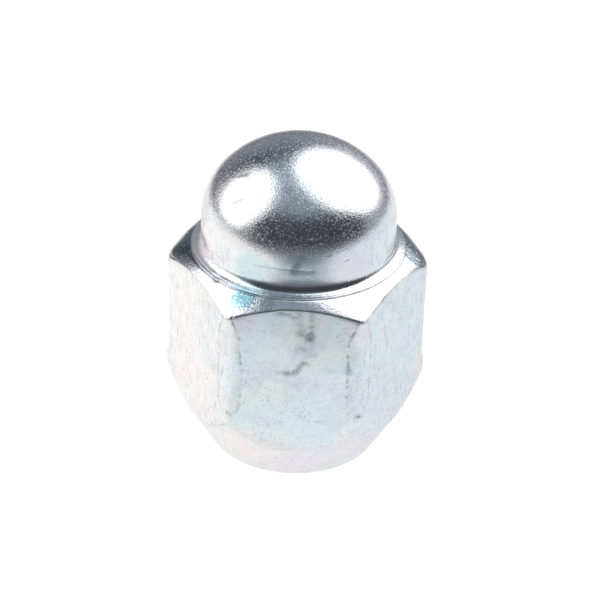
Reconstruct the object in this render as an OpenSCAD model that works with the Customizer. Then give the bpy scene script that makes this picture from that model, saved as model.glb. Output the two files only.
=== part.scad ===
// Closed-end wheel nut (lug nut) with a 60 degree conical seat.
//
// One cold-forged piece that stands on its open end, with its axis along +Z and its
// origin at the centre of the flat end face.  From the bottom up it has the flat end
// ring, the conical seat, the hexagon with its corner lands and top chamfer, a low
// stepped collar with a hollow fillet, and the closed cap with its flattened dome.
// The blind hole is cut at the tap drill's diameter, without the thread itself.
// All sizes are in millimetres and degrees.

/* [Hexagon] */
// Width across flats, the wrench size
across_flats = 19; // [17:0.5:24]
// Rounding radius of the lands along the six upright corners
corner_r = 1.7; // [0.8:0.1:2.4]
// Height by which each land's rounding swells past the two flats beside it
corner_swell = 0.02; // [0.01:0.01:0.06]
// Height of the collar's foot above the end face
hex_h = 18.2; // [16:0.1:26]
// Slope of the top chamfer below the horizontal
chamfer_angle = 38; // [20:1:50]

/* [Conical seat] */
// Diameter of the end face, measured to the sharp edge of the seat
seat_end_d = 14.3; // [14:0.1:16]
// Included angle of the seat cone
seat_angle = 60; // [50:1:90]
// Height of the bevel that breaks the edge between seat and end face
seat_edge = 0.15; // [0.05:0.05:0.3]

/* [Collar] */
// Width of the collar beyond the cap's wall
collar_w = 0.85; // [0.75:0.05:1.2]
// Height of the upright step at the collar's foot
collar_step = 0.12; // [0.05:0.01:0.3]
// Width of the bevel along the collar's rim
bevel_w = 0.25; // [0.1:0.05:0.35]
// Height of the bevel along the collar's rim
bevel_h = 0.08; // [0.02:0.01:0.2]
// Radius of the hollow fillet between collar and cap
cove_r = 0.5; // [0.1:0.05:0.55]

/* [Cap] */
// Diameter of the cap's wall
cap_d = 16; // [15.4:0.1:16.8]
// Height of the cap above the collar's foot
cap_h = 9.4; // [8:0.1:16]
// Radius of the dome's shoulder
shoulder_r = 5.7; // [3:0.1:6.5]
// Radius of the dome's crown
crown_r = 8.9; // [8.5:0.1:20]

/* [Threaded hole] */
// Nominal diameter of the metric thread
thread_d = 12; // [10:0.25:12.5]
// Pitch of the thread
thread_pitch = 1.5; // [1:0.25:1.75]
// Clearance round the thread at the countersunk mouth, on the diameter
mouth_clearance = 0.8; // [0.2:0.1:1]
// Included angle of the countersunk mouth
mouth_angle = 90; // [60:1:120]
// Metal between the drill's point and the top of the dome
crown_wall = 3.4; // [2:0.1:5]
// Point angle of the drill
drill_point_angle = 118; // [100:1:140]

/* [Hidden] */
$fn = 128;
sides = 6;
sector = 360 / sides;                        // from one corner to the next
overrun = 1;                                 // how far a cut runs past its solid

// Levels along the axis
total_h = hex_h + cap_h;
ledge_z = hex_h + collar_step + bevel_h;

// Hexagon: each corner land is an arc whose centre lies on the corner's own radius
flat_r = across_flats / 2;
corner_centre_r = (flat_r - corner_r + corner_swell) / cos(sector / 2);
corner_tip_r = corner_centre_r + corner_r;

// Envelope of the hexagon, drawn out to a radius clear of the corners
envelope_r = corner_tip_r + overrun;
seat_end_r = seat_end_d / 2;
seat_slope = tan(seat_angle / 2);            // radius gained for each unit of height
seat_top_z = (envelope_r - seat_end_r) / seat_slope;
cap_r = cap_d / 2;
collar_r = cap_r + collar_w;
chamfer_foot_z = hex_h - (envelope_r - collar_r) * tan(chamfer_angle);

// Dome: the wall, the shoulder and the crown run into each other without an edge
shoulder_x = cap_r - shoulder_r;
crown_z = total_h - crown_r;
shoulder_z = crown_z + sqrt(pow(crown_r - shoulder_r, 2) - pow(shoulder_x, 2));

// Blind hole
hole_r = (thread_d - thread_pitch) / 2;      // the tap drill
mouth_r = (thread_d + mouth_clearance) / 2;
mouth_slope = tan(mouth_angle / 2);          // radius gained for each unit of depth
mouth_depth = (mouth_r - hole_r) / mouth_slope;
point_z = total_h - crown_wall;
hole_top_z = point_z - hole_r / tan(drill_point_angle / 2);

// Outline of the hexagon: the flats run as far as the foot of each corner arc's centre.
module hexagon_outline() {
    polygon([
        for (corner = [0 : sides - 1], side = [-1, 1])
            let (at = sector * corner, out = at + side * sector / 2)
            corner_centre_r * [cos(at), sin(at)] + (corner_r - corner_swell) * [cos(out), sin(out)]
    ]);
    for (corner = [0 : sides - 1])
        rotate(sector * corner) translate([corner_centre_r, 0]) circle(corner_r);
}

// Round blank between the end face and the collar's foot: seat cone below, chamfer above.
module blank() {
    rotate_extrude() polygon([
        [0, 0],
        [seat_end_r - seat_edge, 0],
        [seat_end_r + seat_edge * seat_slope, seat_edge],
        [envelope_r, seat_top_z],
        [envelope_r, chamfer_foot_z],
        [collar_r, hex_h],
        [0, hex_h],
    ]);
}

module hexagon() {
    intersection() {
        linear_extrude(hex_h) hexagon_outline();
        blank();
    }
}

// Half section of the collar, with the hollow fillet that runs up to the cap's wall.
module collar_section() {
    fillet_x = cap_r + cove_r;
    fillet_z = ledge_z + cove_r;
    difference() {
        polygon([
            [0, hex_h - overrun],
            [collar_r - overrun, hex_h - overrun],
            [collar_r, hex_h],
            [collar_r, hex_h + collar_step],
            [collar_r - bevel_w, ledge_z],
            [fillet_x, ledge_z],
            [fillet_x, fillet_z],
            [0, fillet_z],
        ]);
        translate([fillet_x, fillet_z]) circle(cove_r);
    }
}

// Half section of the cap: straight wall, then the shoulder's circle, then the crown's sector.
module cap_section() {
    reach = 2 * crown_r / norm([shoulder_x, shoulder_z - crown_z]);
    intersection() {
        square([cap_r, total_h]);
        union() {
            translate([0, hex_h]) square([cap_r, shoulder_z - hex_h]);
            translate([shoulder_x, shoulder_z]) circle(shoulder_r);
            translate([0, crown_z]) intersection() {
                circle(crown_r);
                polygon([
                    [0, 0],
                    reach * [shoulder_x, shoulder_z - crown_z],
                    [0, 2 * crown_r],
                ]);
            }
        }
    }
}

// Tap drill's hole with its point, and the countersunk mouth.
module hole() {
    translate([0, 0, -overrun]) cylinder(r = hole_r, h = hole_top_z + overrun);
    translate([0, 0, hole_top_z]) cylinder(r1 = hole_r, r2 = 0, h = point_z - hole_top_z);
    translate([0, 0, -overrun])
        cylinder(r1 = mouth_r + overrun * mouth_slope, r2 = hole_r, h = mouth_depth + overrun);
}

module lug_nut() {
    color("silver") difference() {
        union() {
            hexagon();
            rotate_extrude() {
                collar_section();
                cap_section();
            }
        }
        hole();
    }
}

lug_nut();
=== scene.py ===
"""Closed-end wheel nut in bright zinc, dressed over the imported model.

The nut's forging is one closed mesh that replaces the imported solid, and the thread in
its blind hole is a rib that follows a helix.  Lengths in the classes are in millimetres
and angles in degrees, unless a line says otherwise; every mesh is in metres, in the
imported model's own frame.
"""

from __future__ import annotations

import logging
import math
from dataclasses import dataclass, field
from enum import Enum
from typing import Any, Callable, Sequence, Union

import bpy
import numpy as np
from mathutils import Matrix, Vector

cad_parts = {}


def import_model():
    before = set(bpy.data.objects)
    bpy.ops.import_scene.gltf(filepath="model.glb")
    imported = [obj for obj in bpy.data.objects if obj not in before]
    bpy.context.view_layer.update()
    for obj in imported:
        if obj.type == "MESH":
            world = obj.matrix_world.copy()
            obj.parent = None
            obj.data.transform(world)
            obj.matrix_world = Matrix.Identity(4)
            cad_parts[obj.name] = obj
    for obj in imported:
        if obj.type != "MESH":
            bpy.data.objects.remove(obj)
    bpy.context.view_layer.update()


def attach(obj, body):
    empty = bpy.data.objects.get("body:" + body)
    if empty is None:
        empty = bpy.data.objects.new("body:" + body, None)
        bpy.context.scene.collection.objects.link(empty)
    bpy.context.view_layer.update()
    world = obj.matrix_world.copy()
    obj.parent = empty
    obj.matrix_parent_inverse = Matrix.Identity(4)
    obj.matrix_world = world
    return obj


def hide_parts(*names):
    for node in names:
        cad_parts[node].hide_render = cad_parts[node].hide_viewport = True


MM = 0.001
NODE = "lug_nut"
BODY = "root"

SIDES = 6
SECTOR = 360 // SIDES
HALF_SECTOR = math.radians(SECTOR / 2)
FULL_TURN = 2 * math.pi

ARC_RADIUS = 9.0  # lengths round the nut are measured at this radius
KNOTS = 512  # knots of a random curve that does not close
MEETING_STEPS = 60  # steps in which the hexagon is brought to a cone
DENT_EDGE = (0.42, 0.0)  # distances from a dent's middle at which it ends and is deepest
POLE_LIFT = (0.003, 0.0005)  # how far the two end vertices stand beyond the rows next to them
ON_SHAPE = 0.03  # how near to a shape a vertex lies that belongs to it

LOG = logging.getLogger("wheel_nut")

Colour = tuple[float, float, float]
Point = tuple[float, float, float]
Place = tuple[Any, Any]  # a radius and a height in the section, one pair or one for each column
Span = tuple[float, float]  # where a smooth step is 0, and where it is 1
Number = Union[float, int, "Term"]


class Ray(Enum):
    """Kinds of ray that a material can tell apart, by their output on Light Path."""

    CAMERA = "Is Camera Ray"
    GLOSSY = "Is Glossy Ray"
    TRANSMISSION = "Is Transmission Ray"


class Zone(Enum):
    """Surfaces that carry drag marks, each unrolled into its own (across, height)."""

    FRONT_FLAT = "front flat"
    CAP = "cap"


class Mark(Enum):
    """Values that the forging's mesh carries for each vertex, by their attribute."""

    # Painted shade in creases, folds, nicks and along the flats' edges.
    PAINTED_SHADE = "groove"
    TURNED = "turned"
    SKIN = "skin"
    CAP = "cap"


class Draw(Enum):
    """Seeds of the forging's random curves."""

    BREAKS = 3
    WEAR = 5
    JITTER = 6
    VALLEY = 7
    RIM = 9
    BROW = 21
    FOOT = 22
    LAND = 40


class Material(Enum):
    """Names of the materials."""

    ZINC = "bright_zinc_body"
    THREAD = "bright_zinc_thread"
    FLOOR = "studio_floor"

    def new(self) -> bpy.types.Material:
        """Makes the material, with nodes.

        Returns:
            The material.
        """
        material = bpy.data.materials.new(self.value)
        material.use_nodes = True
        return material


# --------------------------------------------------------------------------- node trees


def operator(operation: str, swapped: bool = False) -> Callable[["Term", Number], "Term"]:
    """Makes the method behind one arithmetic operator of a term.

    Args:
        operation: The Math node's operation.
        swapped: Whether the term is the operator's right side.

    Returns:
        The method.
    """

    def method(term: "Term", other: Number) -> "Term":
        """Adds the node and gives its result."""
        return term.math(operation, term, first=other) if swapped else term.math(operation, other)

    return method


class Term:
    """A socket that arithmetic can be written on; each operator adds a Math node."""

    __add__ = operator("ADD")
    __radd__ = operator("ADD", swapped=True)
    __sub__ = operator("SUBTRACT")
    __rsub__ = operator("SUBTRACT", swapped=True)
    __mul__ = operator("MULTIPLY")
    __truediv__ = operator("DIVIDE")
    __rtruediv__ = operator("DIVIDE", swapped=True)
    __pow__ = operator("POWER")

    def __init__(self, graph: "Graph", socket: bpy.types.NodeSocket) -> None:
        """Wraps a socket of a graph's node."""
        self.graph = graph
        self.socket = socket

    def math(self, operation: str, *others: Number, first: Number | None = None) -> "Term":
        """Adds one Math node.

        Args:
            operation: The node's operation.
            others: Its further operands.
            first: The first operand, where that is not this term.

        Returns:
            The node's result.
        """
        operands = (self if first is None else first, *others)
        sockets = dict(enumerate(operands))
        return self.graph.add("ShaderNodeMath", {"operation": operation}, sockets)[0]

    def __abs__(self) -> "Term":
        """This term without its sign."""
        return self.math("ABSOLUTE")

    def clamp(self) -> "Term":
        """This term held between 0 and 1."""
        return self.math("MINIMUM", 1.0).math("MAXIMUM", 0.0)

    def rise(self, low: float, high: float) -> "Term":
        """A smooth step of this term.

        Args:
            low: The value at which the step is 0.
            high: The value at which it is 1; it may lie below the other.

        Returns:
            The step, from 0 to 1.
        """
        settings = {"interpolation_type": "SMOOTHSTEP"}
        if low <= high:
            return self.graph.add("ShaderNodeMapRange", settings, {0: self, 1: low, 2: high})[0]
        return 1.0 - self.graph.add("ShaderNodeMapRange", settings, {0: self, 1: high, 2: low})[0]


@dataclass(frozen=True)
class Pattern:
    """Soft noise about 0.5, or a step of it that runs from 0 to 1.

    The scale is its waves to a millimetre, the detail its octaves, rough what each finer
    octave keeps, and warp its distortion.  A shift or a stretch says where it is read.
    """

    scale: float
    detail: float = 2.0
    rough: float = 0.5
    warp: float = 0.0
    shift: Point | None = None
    stretch: Point | None = None
    step: Span | None = None


class Graph:
    """A node tree that is written one node at a time."""

    def __init__(self, tree: bpy.types.NodeTree) -> None:
        """Starts from an empty tree."""
        self.tree = tree
        tree.nodes.clear()

    def add(
        self, kind: str, settings: dict[str, Any] | None = None, sockets: dict[int | str, Any] | None = None
    ) -> list[Term]:
        """Adds a node: its settings first, then the values or links of its sockets.

        Args:
            kind: The node's type.
            settings: Attributes of the node; a ramp's are its stops, under "stops".
            sockets: Values or terms, by the input's place or name.

        Returns:
            The node's outputs.
        """
        node = self.tree.nodes.new(kind)
        for name, value in (settings or {}).items():
            if name == "stops":
                self._stops(node.color_ramp, value)
            else:
                setattr(node, name, value)
        for key, value in (sockets or {}).items():
            if isinstance(value, Term):
                self.tree.links.new(value.socket, node.inputs[key])
            else:
                node.inputs[key].default_value = value
        return [Term(self, socket) for socket in node.outputs]

    @staticmethod
    def _stops(ramp: bpy.types.ColorRamp, stops: list[tuple[float, Colour]]) -> None:
        """Gives a ramp its stops.

        Args:
            ramp: The ramp.
            stops: The places and colours, in order.
        """
        while len(ramp.elements) < len(stops):
            ramp.elements.new(0.5)
        for element, (place, colour) in zip(ramp.elements, stops):
            element.position = place
            element.color = (*colour, 1.0)

    def mix(self, share: Number, one: Any, other: Any) -> Term:
        """Mixes two colours.

        Args:
            share: The other colour's share.
            one: The first colour.
            other: The second colour.

        Returns:
            The mixed colour.
        """
        pair = [(*c, 1.0) if isinstance(c, tuple) else c for c in (one, other)]
        settings = {"data_type": "RGBA", "blend_type": "MIX"}
        return self.add("ShaderNodeMix", settings, {0: share, 6: pair[0], 7: pair[1]})[2]

    def vector(self, operation: str, vector: Term, other: Point) -> list[Term]:
        """The vector and the number that a vector operation gives."""
        return self.add("ShaderNodeVectorMath", {"operation": operation}, {0: vector, 1: other})

    def distance(self, vector: Term, place: Point) -> Term:
        """The distance between a vector and a place."""
        return self.vector("DISTANCE", vector, place)[1]

    def split(self, vector: Term) -> list[Term]:
        """A vector's three parts."""
        return self.add("ShaderNodeSeparateXYZ", None, {0: vector})

    def join(self, x: Number, y: Number, z: Number) -> Term:
        """A vector from its three parts."""
        return self.add("ShaderNodeCombineXYZ", None, {0: x, 1: y, 2: z})[0]

    def way(self) -> Term:
        """Object coordinates: the place on a piece in metres, or the way out into the world."""
        return self.add("ShaderNodeTexCoord")[3]

    def place(self) -> Term:
        """The place on a piece, in millimetres."""
        return self.vector("MULTIPLY", self.way(), (1 / MM, 1 / MM, 1 / MM))[0]

    def read(self, pattern: Pattern, place: Term) -> Term:
        """Reads a pattern at a place.

        Args:
            pattern: The pattern.
            place: The place, in millimetres.

        Returns:
            The noise, or its step where the pattern has one.
        """
        if pattern.shift is not None:
            place = self.vector("ADD", place, pattern.shift)[0]
        if pattern.stretch is not None:
            place = self.vector("MULTIPLY", place, pattern.stretch)[0]
        sockets = {
            "Vector": place,
            "Scale": pattern.scale,
            "Detail": pattern.detail,
            "Roughness": pattern.rough,
            "Distortion": pattern.warp,
        }
        noise = self.add("ShaderNodeTexNoise", None, sockets)[0]
        return noise if pattern.step is None else noise.rise(*pattern.step)

    def attribute(self, mark: Mark) -> Term:
        """A value that the mesh carries, in a material."""
        return self.add("ShaderNodeAttribute", {"attribute_name": mark.value})[2]

    def ray(self, kind: Ray) -> Term:
        """1 for rays of one kind and 0 for the rest."""
        return {t.socket.name: t for t in self.add("ShaderNodeLightPath")}[kind.value]

    def declare(self, lengths: Sequence[str]) -> dict[str, Term]:
        """Gives a geometry tree its named inputs and its output.

        Args:
            lengths: The names of the numbers that it takes, besides its mesh and its finish.

        Returns:
            The inputs as terms, by name.
        """
        kinds = {"Geometry": "Geometry", **dict.fromkeys(lengths, "Float"), "Finish": "Material"}
        for name, kind in kinds.items():
            self.tree.interface.new_socket(name, in_out="INPUT", socket_type=f"NodeSocket{kind}")
        self.tree.interface.new_socket("Geometry", in_out="OUTPUT", socket_type="NodeSocketGeometry")
        return {term.socket.name: term for term in self.add("NodeGroupInput")}

    def close(self, geometry: Term, finish: Term) -> None:
        """Ends a geometry tree in real geometry.

        Args:
            geometry: What the tree has made.
            finish: The material that it wears.
        """
        real = self.add("GeometryNodeRealizeInstances", None, {"Geometry": geometry})[0]
        coat = {"Geometry": real, "Material": finish}
        self.add("NodeGroupOutput", None, {0: self.add("GeometryNodeSetMaterial", None, coat)[0]})


def put(name: str, data: bpy.types.ID) -> bpy.types.Object:
    """Puts an object in the scene.

    Args:
        name: The object's name.
        data: Its mesh, lamp or camera.

    Returns:
        The object, at the origin.
    """
    thing = bpy.data.objects.new(name, data)
    bpy.context.collection.objects.link(thing)
    return thing


def grow(
    name: str, start: bpy.types.Mesh, tree: bpy.types.NodeTree, values: dict[str, Any]
) -> bpy.types.Object:
    """Runs a geometry tree on a mesh and keeps what comes out as a plain piece.

    Args:
        name: The piece's name.
        start: The mesh that the tree starts from; it is used up.
        tree: The tree.
        values: The values of its inputs, by name.

    Returns:
        The piece, with its place in its mesh and no modifier.
    """
    base = put(f"{name}_start", start)
    modifier = base.modifiers.new(tree.name, "NODES")
    modifier.node_group = tree
    for item in tree.interface.items_tree:
        if item.in_out == "INPUT" and item.name in values:
            modifier[item.identifier] = values[item.name]
    graph = bpy.context.evaluated_depsgraph_get()
    mesh = bpy.data.meshes.new_from_object(base.evaluated_get(graph), depsgraph=graph)
    base.modifiers.clear()
    bpy.data.objects.remove(base)
    bpy.data.meshes.remove(start)
    mesh.name = name
    return put(name, mesh)


# ----------------------------------------------------------------------------- finishes


@dataclass(frozen=True)
class Surface:
    """What a finish reads on a piece: the place on it, in millimetres, and its zones."""

    graph: Graph
    place: Term
    x: Term
    y: Term
    z: Term
    dome: Term
    wall: Term
    turned: Term
    # Painted shade that the mesh carries in creases, folds, nicks and edge lines.
    groove: Term

    def read(self, pattern: Pattern) -> Term:
        """A pattern on this surface."""
        return self.graph.read(pattern, self.place)


@dataclass(frozen=True)
class Tint:
    """A soft patch of one colour in the passivated film, round a place on the nut."""

    place: Point
    reach: float
    colour: Colour
    amount: float


@dataclass(frozen=True)
class Film:
    """The clear film on the plate, whose colour shifts from patch to patch; the pale warm patches on the
    left flats and the cool one on the right flat are partly painted light and shade.
    """

    metal: Colour = (0.80, 0.815, 0.84)
    shade: Colour = (0.70, 0.715, 0.745)
    hues: tuple[Colour, ...] = (
        (0.90, 0.78, 0.85),
        (0.90, 0.88, 0.80),
        (0.76, 0.89, 0.85),
        (0.76, 0.85, 0.92),
        (0.84, 0.80, 0.90),
    )
    first_hue: float = 0.30
    hue_step: float = 0.10
    share: float = 0.55
    off_dome: float = 0.75
    mottle: Pattern = Pattern(1.3, 4.0, 0.6, step=(0.35, 0.70))
    drift: Pattern = Pattern(0.20, 4.0, 0.6, 0.8)
    blotch: Pattern = Pattern(0.55, 3.0, 0.6, shift=(31.0, 7.0, 3.0), step=(0.38, 0.62))
    ragged: Pattern = Pattern(0.8, 4.0, 0.65, shift=(5.0, 9.0, 2.0))
    raggedness: float = 1.1
    tint_edge: Span = (1.05, 0.35)
    tint_off_dome: float = 0.7
    tints: tuple[Tint, ...] = (
        Tint((-7.6, -2.6, 20.0), 3.0, (0.93, 0.80, 0.84), 0.55),
        Tint((-7.8, -0.8, 22.0), 3.0, (0.40, 0.40, 0.43), 0.90),
        Tint((-3.6, -7.1, 19.9), 2.2, (0.49, 0.70, 0.73), 0.70),
        Tint((4.4, -6.7, 20.0), 3.0, (0.73, 0.68, 0.73), 0.55),
        Tint((0.4, -8.0, 20.0), 3.4, (0.60, 0.64, 0.68), 0.60),
        Tint((-4.5, -8.2, 17.8), 1.5, (0.42, 0.66, 0.78), 0.85),
        # Partly film colour and partly painted light: these two pale warm patches make the left flats
        # brighter.
        Tint((-8.6, -4.2, 8.0), 5.5, (0.95, 0.86, 0.84), 0.50),
        Tint((-9.2, -2.6, 14.5), 5.0, (0.94, 0.91, 0.84), 0.45),
        Tint((-4.6, -8.3, 2.6), 3.6, (0.95, 0.84, 0.82), 0.50),
        Tint((0.6, -8.2, 1.6), 3.4, (0.88, 0.80, 0.90), 0.60),
        Tint((4.4, -7.8, 3.0), 2.6, (0.92, 0.80, 0.88), 0.45),
        Tint((0.8, -9.5, 7.2), 3.2, (0.72, 0.89, 0.86), 0.35),
        Tint((-3.4, -9.5, 8.2), 2.0, (0.76, 0.92, 0.84), 0.35),
        Tint((-2.6, -9.5, 14.6), 2.6, (0.86, 0.93, 0.96), 0.50),
        Tint((-3.9, -9.5, 16.6), 1.5, (0.90, 0.78, 0.86), 0.45),
        Tint((0.4, -9.5, 15.9), 1.8, (0.90, 0.89, 0.80), 0.40),
        Tint((3.4, -9.5, 16.2), 1.2, (0.76, 0.92, 0.82), 0.45),
        Tint((3.0, -9.5, 10.4), 2.2, (0.90, 0.82, 0.88), 0.30),
        # Partly film colour and partly painted shade: this cool patch makes the right flat greyer and
        # bluer.
        Tint((7.0, -6.2, 14.0), 3.2, (0.78, 0.88, 0.92), 0.30),
    )

    def colour(self, on: Surface) -> Term:
        """The metal's colour under the film.

        Args:
            on: The surface.

        Returns:
            The colour.
        """
        graph = on.graph
        base = graph.mix(on.read(self.mottle), self.metal, self.shade)
        stops = [(self.first_hue + self.hue_step * i, hue) for i, hue in enumerate(self.hues)]
        rainbow = graph.add("ShaderNodeValToRGB", {"stops": stops}, {0: on.read(self.drift)})[0]
        share = on.read(self.blotch) * self.share * (1.0 - on.dome * self.off_dome)
        colour = graph.mix(share, base, rainbow)
        ragged = (on.read(self.ragged) - 0.5) * self.raggedness
        kept = 1.0 - on.dome * self.tint_off_dome
        for tint in self.tints:
            span = graph.distance(on.place, tint.place) / tint.reach + ragged
            colour = graph.mix(span.rise(*self.tint_edge) * tint.amount * kept, colour, tint.colour)
        return colour


@dataclass(frozen=True)
class Scuff:
    """A dull patch, left bright in streaks or specks.

    Its edge is the share of the reach at which it is full, and its tone the metal's there.
    """

    place: Point
    reach: float
    stretch: Point
    amount: float
    edge: float = 0.85
    tone: Colour = (0.15, 0.19, 0.23)

    @property
    def streaks(self) -> Pattern:
        """The streaks or specks."""
        return Pattern(1.3, 2.0, 0.6, stretch=self.stretch)


@dataclass(frozen=True)
class Scuffing:
    """The dull patches on the chamfer."""

    raggedness: float = 0.22
    streak_edge: Span = (0.66, 0.54)
    fade: Span = (0.0, 0.3)
    scuffs: tuple[Scuff, ...] = (
        Scuff((9.5, 1.6, 17.7), 3.45, (1.3, 4.0, 4.0), 0.88, 0.90),
        Scuff((-10.0, 0.6, 17.6), 2.6, (3.4, 3.4, 3.4), 0.72),
        Scuff((-8.9, -3.0, 17.8), 3.2, (5.0, 5.0, 5.0), 0.66, 0.20, (0.20, 0.25, 0.30)),
        Scuff((-3.9, -8.2, 17.9), 1.55, (5.0, 5.0, 5.0), 0.88, 0.20, (0.13, 0.27, 0.33)),
        Scuff((-2.3, -8.9, 17.8), 1.00, (5.0, 5.0, 5.0), 0.40, 0.30, (0.16, 0.20, 0.24)),
    )

    def over(self, colour: Term, on: Surface, where: Term) -> Term:
        """Lays the patches over a colour.

        Args:
            colour: The colour.
            on: The surface.
            where: 1 where they may lie, and 0 elsewhere.

        Returns:
            The colour with the patches.
        """
        for scuff in self.scuffs:
            bound = (on.graph.distance(on.place, scuff.place) / scuff.reach).rise(1.0, scuff.edge)
            dulled = (on.read(scuff.streaks) + (1.0 - bound) * self.raggedness).rise(*self.streak_edge)
            share = dulled * bound.rise(*self.fade) * where * scuff.amount
            colour = on.graph.mix(share, colour, scuff.tone)
        return colour


@dataclass(frozen=True)
class Stroke:
    """A short drag mark from one place to another, each given as (across, height).

    Across is x on the front flat, and the arc from the front at the cap's radius on the cap.
    """

    start: tuple[float, float]
    end: tuple[float, float]
    width: float
    depth: float
    zone: Zone = Zone.FRONT_FLAT

    def mark(self, across: Term, above: Term, spread: float) -> Term:
        """How strongly the stroke marks each place of its zone.

        Args:
            across: The place along the zone.
            above: The place's height.
            spread: How far the mark fades out, in widths.

        Returns:
            The mark, from 0 to the stroke's depth.
        """
        run = (self.end[0] - self.start[0], self.end[1] - self.start[1])
        east = across - self.start[0]
        north = above - self.start[1]
        along = ((east * run[0] + north * run[1]) / (run[0] ** 2 + run[1] ** 2)).clamp()
        off_x = east - along * run[0]
        off_z = north - along * run[1]
        gap = (off_x * off_x + off_z * off_z) ** 0.5
        return gap.rise(self.width * spread, 0.0) * self.depth


@dataclass(frozen=True)
class DragMarks:
    """Drag marks on the front flat and the cap, which a little noise breaks up."""

    spread: float = 2.1
    wobble: Pattern = Pattern(1.6)
    wobble_width: float = 0.30
    tear: Pattern = Pattern(7.0, 3.0, 0.65, step=(0.30, 0.56))
    torn: float = 0.60
    cap_radius: float = 8.0
    flat_front: Span = (-9.1, -9.4)
    flat_top: Span = (18.0, 17.8)
    cap_foot: Span = (18.8, 19.0)
    cap_front: Span = (0.0, -0.5)
    cloud: Pattern = Pattern(1.6, 4.0, 0.7, step=(0.42, 0.70))
    cloud_place: Point = (0.7, -9.5, 15.9)
    cloud_reach: float = 2.3
    cloud_edge: Span = (1.0, 0.2)
    cloud_depth: float = 0.17
    strokes: tuple[Stroke, ...] = (
        Stroke((1.34, 17.5), (1.30, 15.1), 0.22, 0.44),
        Stroke((1.30, 15.3), (1.22, 14.9), 0.32, 0.55),
        Stroke((0.24, 17.3), (0.55, 15.6), 0.34, 0.30),
        Stroke((0.55, 15.5), (1.05, 15.2), 0.28, 0.34),
        Stroke((-0.85, 17.25), (-0.35, 17.3), 0.10, 0.50),
        Stroke((-0.55, 17.05), (0.10, 17.0), 0.10, 0.34),
        Stroke((-1.25, 11.70), (-0.50, 11.74), 0.20, 0.36),
        Stroke((-0.60, 11.70), (0.14, 11.84), 0.24, 0.44),
        Stroke((0.14, 11.84), (0.44, 12.34), 0.22, 0.38),
        Stroke((0.44, 12.34), (0.78, 12.74), 0.18, 0.38),
        Stroke((0.78, 12.76), (1.12, 12.56), 0.16, 0.38),
        Stroke((0.50, 14.30), (1.25, 14.05), 0.28, 0.32),
        Stroke((0.20, 13.80), (0.75, 13.95), 0.24, 0.28),
        Stroke((1.00, 13.35), (1.70, 13.55), 0.20, 0.28),
        Stroke((1.85, 7.14), (2.37, 7.04), 0.08, 0.34),
        Stroke((4.36, 12.2), (4.38, 12.0), 0.26, 0.55),
        Stroke((0.30, 21.5), (-0.05, 20.9), 0.24, 0.60, Zone.CAP),
        Stroke((-0.05, 20.9), (-0.25, 20.3), 0.26, 0.75, Zone.CAP),
        Stroke((-0.25, 20.32), (-0.20, 20.28), 0.20, 0.60, Zone.CAP),
        Stroke((0.20, 20.33), (1.25, 20.30), 0.16, 0.72, Zone.CAP),
        Stroke((3.95, 20.83), (4.25, 20.95), 0.07, 0.70, Zone.CAP),
        Stroke((2.30, 21.62), (2.75, 21.66), 0.06, 0.60, Zone.CAP),
        Stroke((-7.25, 19.64), (-7.20, 19.66), 0.08, 0.75, Zone.CAP),
        Stroke((-8.75, 25.74), (-7.55, 26.12), 0.12, 1.10, Zone.CAP),
        Stroke((-6.90, 24.36), (-6.15, 24.84), 0.12, 0.70, Zone.CAP),
    )

    def depth(self, on: Surface) -> Term:
        """How strongly each place is marked.

        Args:
            on: The surface.

        Returns:
            The mark, from 0.
        """
        wobble = (on.read(self.wobble) - 0.5) * self.wobble_width
        arc = on.x.math("ARCTAN2", on.y * -1.0) * self.cap_radius
        across = {Zone.FRONT_FLAT: on.x + wobble, Zone.CAP: arc + wobble}
        above = on.z + wobble
        total: dict[Zone, Number] = dict.fromkeys(Zone, 0.0)
        for stroke in self.strokes:
            mark = stroke.mark(across[stroke.zone], above, self.spread)
            total[stroke.zone] = mark + total[stroke.zone]
        tear = on.read(self.tear) * self.torn + (1.0 - self.torn)
        patch = on.graph.distance(on.place, self.cloud_place) / self.cloud_reach
        cloud = patch.rise(*self.cloud_edge) * on.read(self.cloud) * self.cloud_depth
        on_flat = on.y.rise(*self.flat_front) * on.z.rise(*self.flat_top)
        on_cap = on.z.rise(*self.cap_foot) * on.y.rise(*self.cap_front)
        return (total[Zone.FRONT_FLAT] * tear + cloud) * on_flat + total[Zone.CAP] * tear * on_cap


@dataclass(frozen=True)
class Specks:
    """Fine pits and dust all over, and short upright draw lines on the flats."""

    pits: Pattern = Pattern(5.0, 2.0, 0.65, step=(0.56, 0.70))
    pit_depth: float = 0.42
    crowding: Pattern = Pattern(0.45, shift=(2.0, 8.0, 5.0), step=(0.35, 0.65))
    crowded: float = 0.6
    dust: Pattern = Pattern(8.0, 2.0, 0.7, shift=(6.0, 3.0, 1.0), step=(0.48, 0.68))
    dust_depth: float = 0.20
    lines: Pattern = Pattern(1.0, 3.0, 0.65, stretch=(4.2, 4.2, 0.9), step=(0.55, 0.72))
    line_depth: float = 0.08
    aside: Span = (4.4, 6.0)
    aside_depth: float = 0.36
    off_wall: float = 0.55
    off_dome: float = 0.85

    def depth(self, on: Surface) -> Term:
        """How strongly each place is specked.

        Args:
            on: The surface.

        Returns:
            The specks, from 0.
        """
        crowd = on.read(self.crowding) * self.crowded + (1.0 - self.crowded)
        fine = on.read(self.pits) * crowd * self.pit_depth + on.read(self.dust) * self.dust_depth
        drawn = abs(on.x).rise(*self.aside) * self.aside_depth + self.line_depth
        total = fine * (1.0 - on.wall * self.off_wall) + on.read(self.lines) * drawn
        return total * (1.0 - on.dome * self.off_dome)


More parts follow.
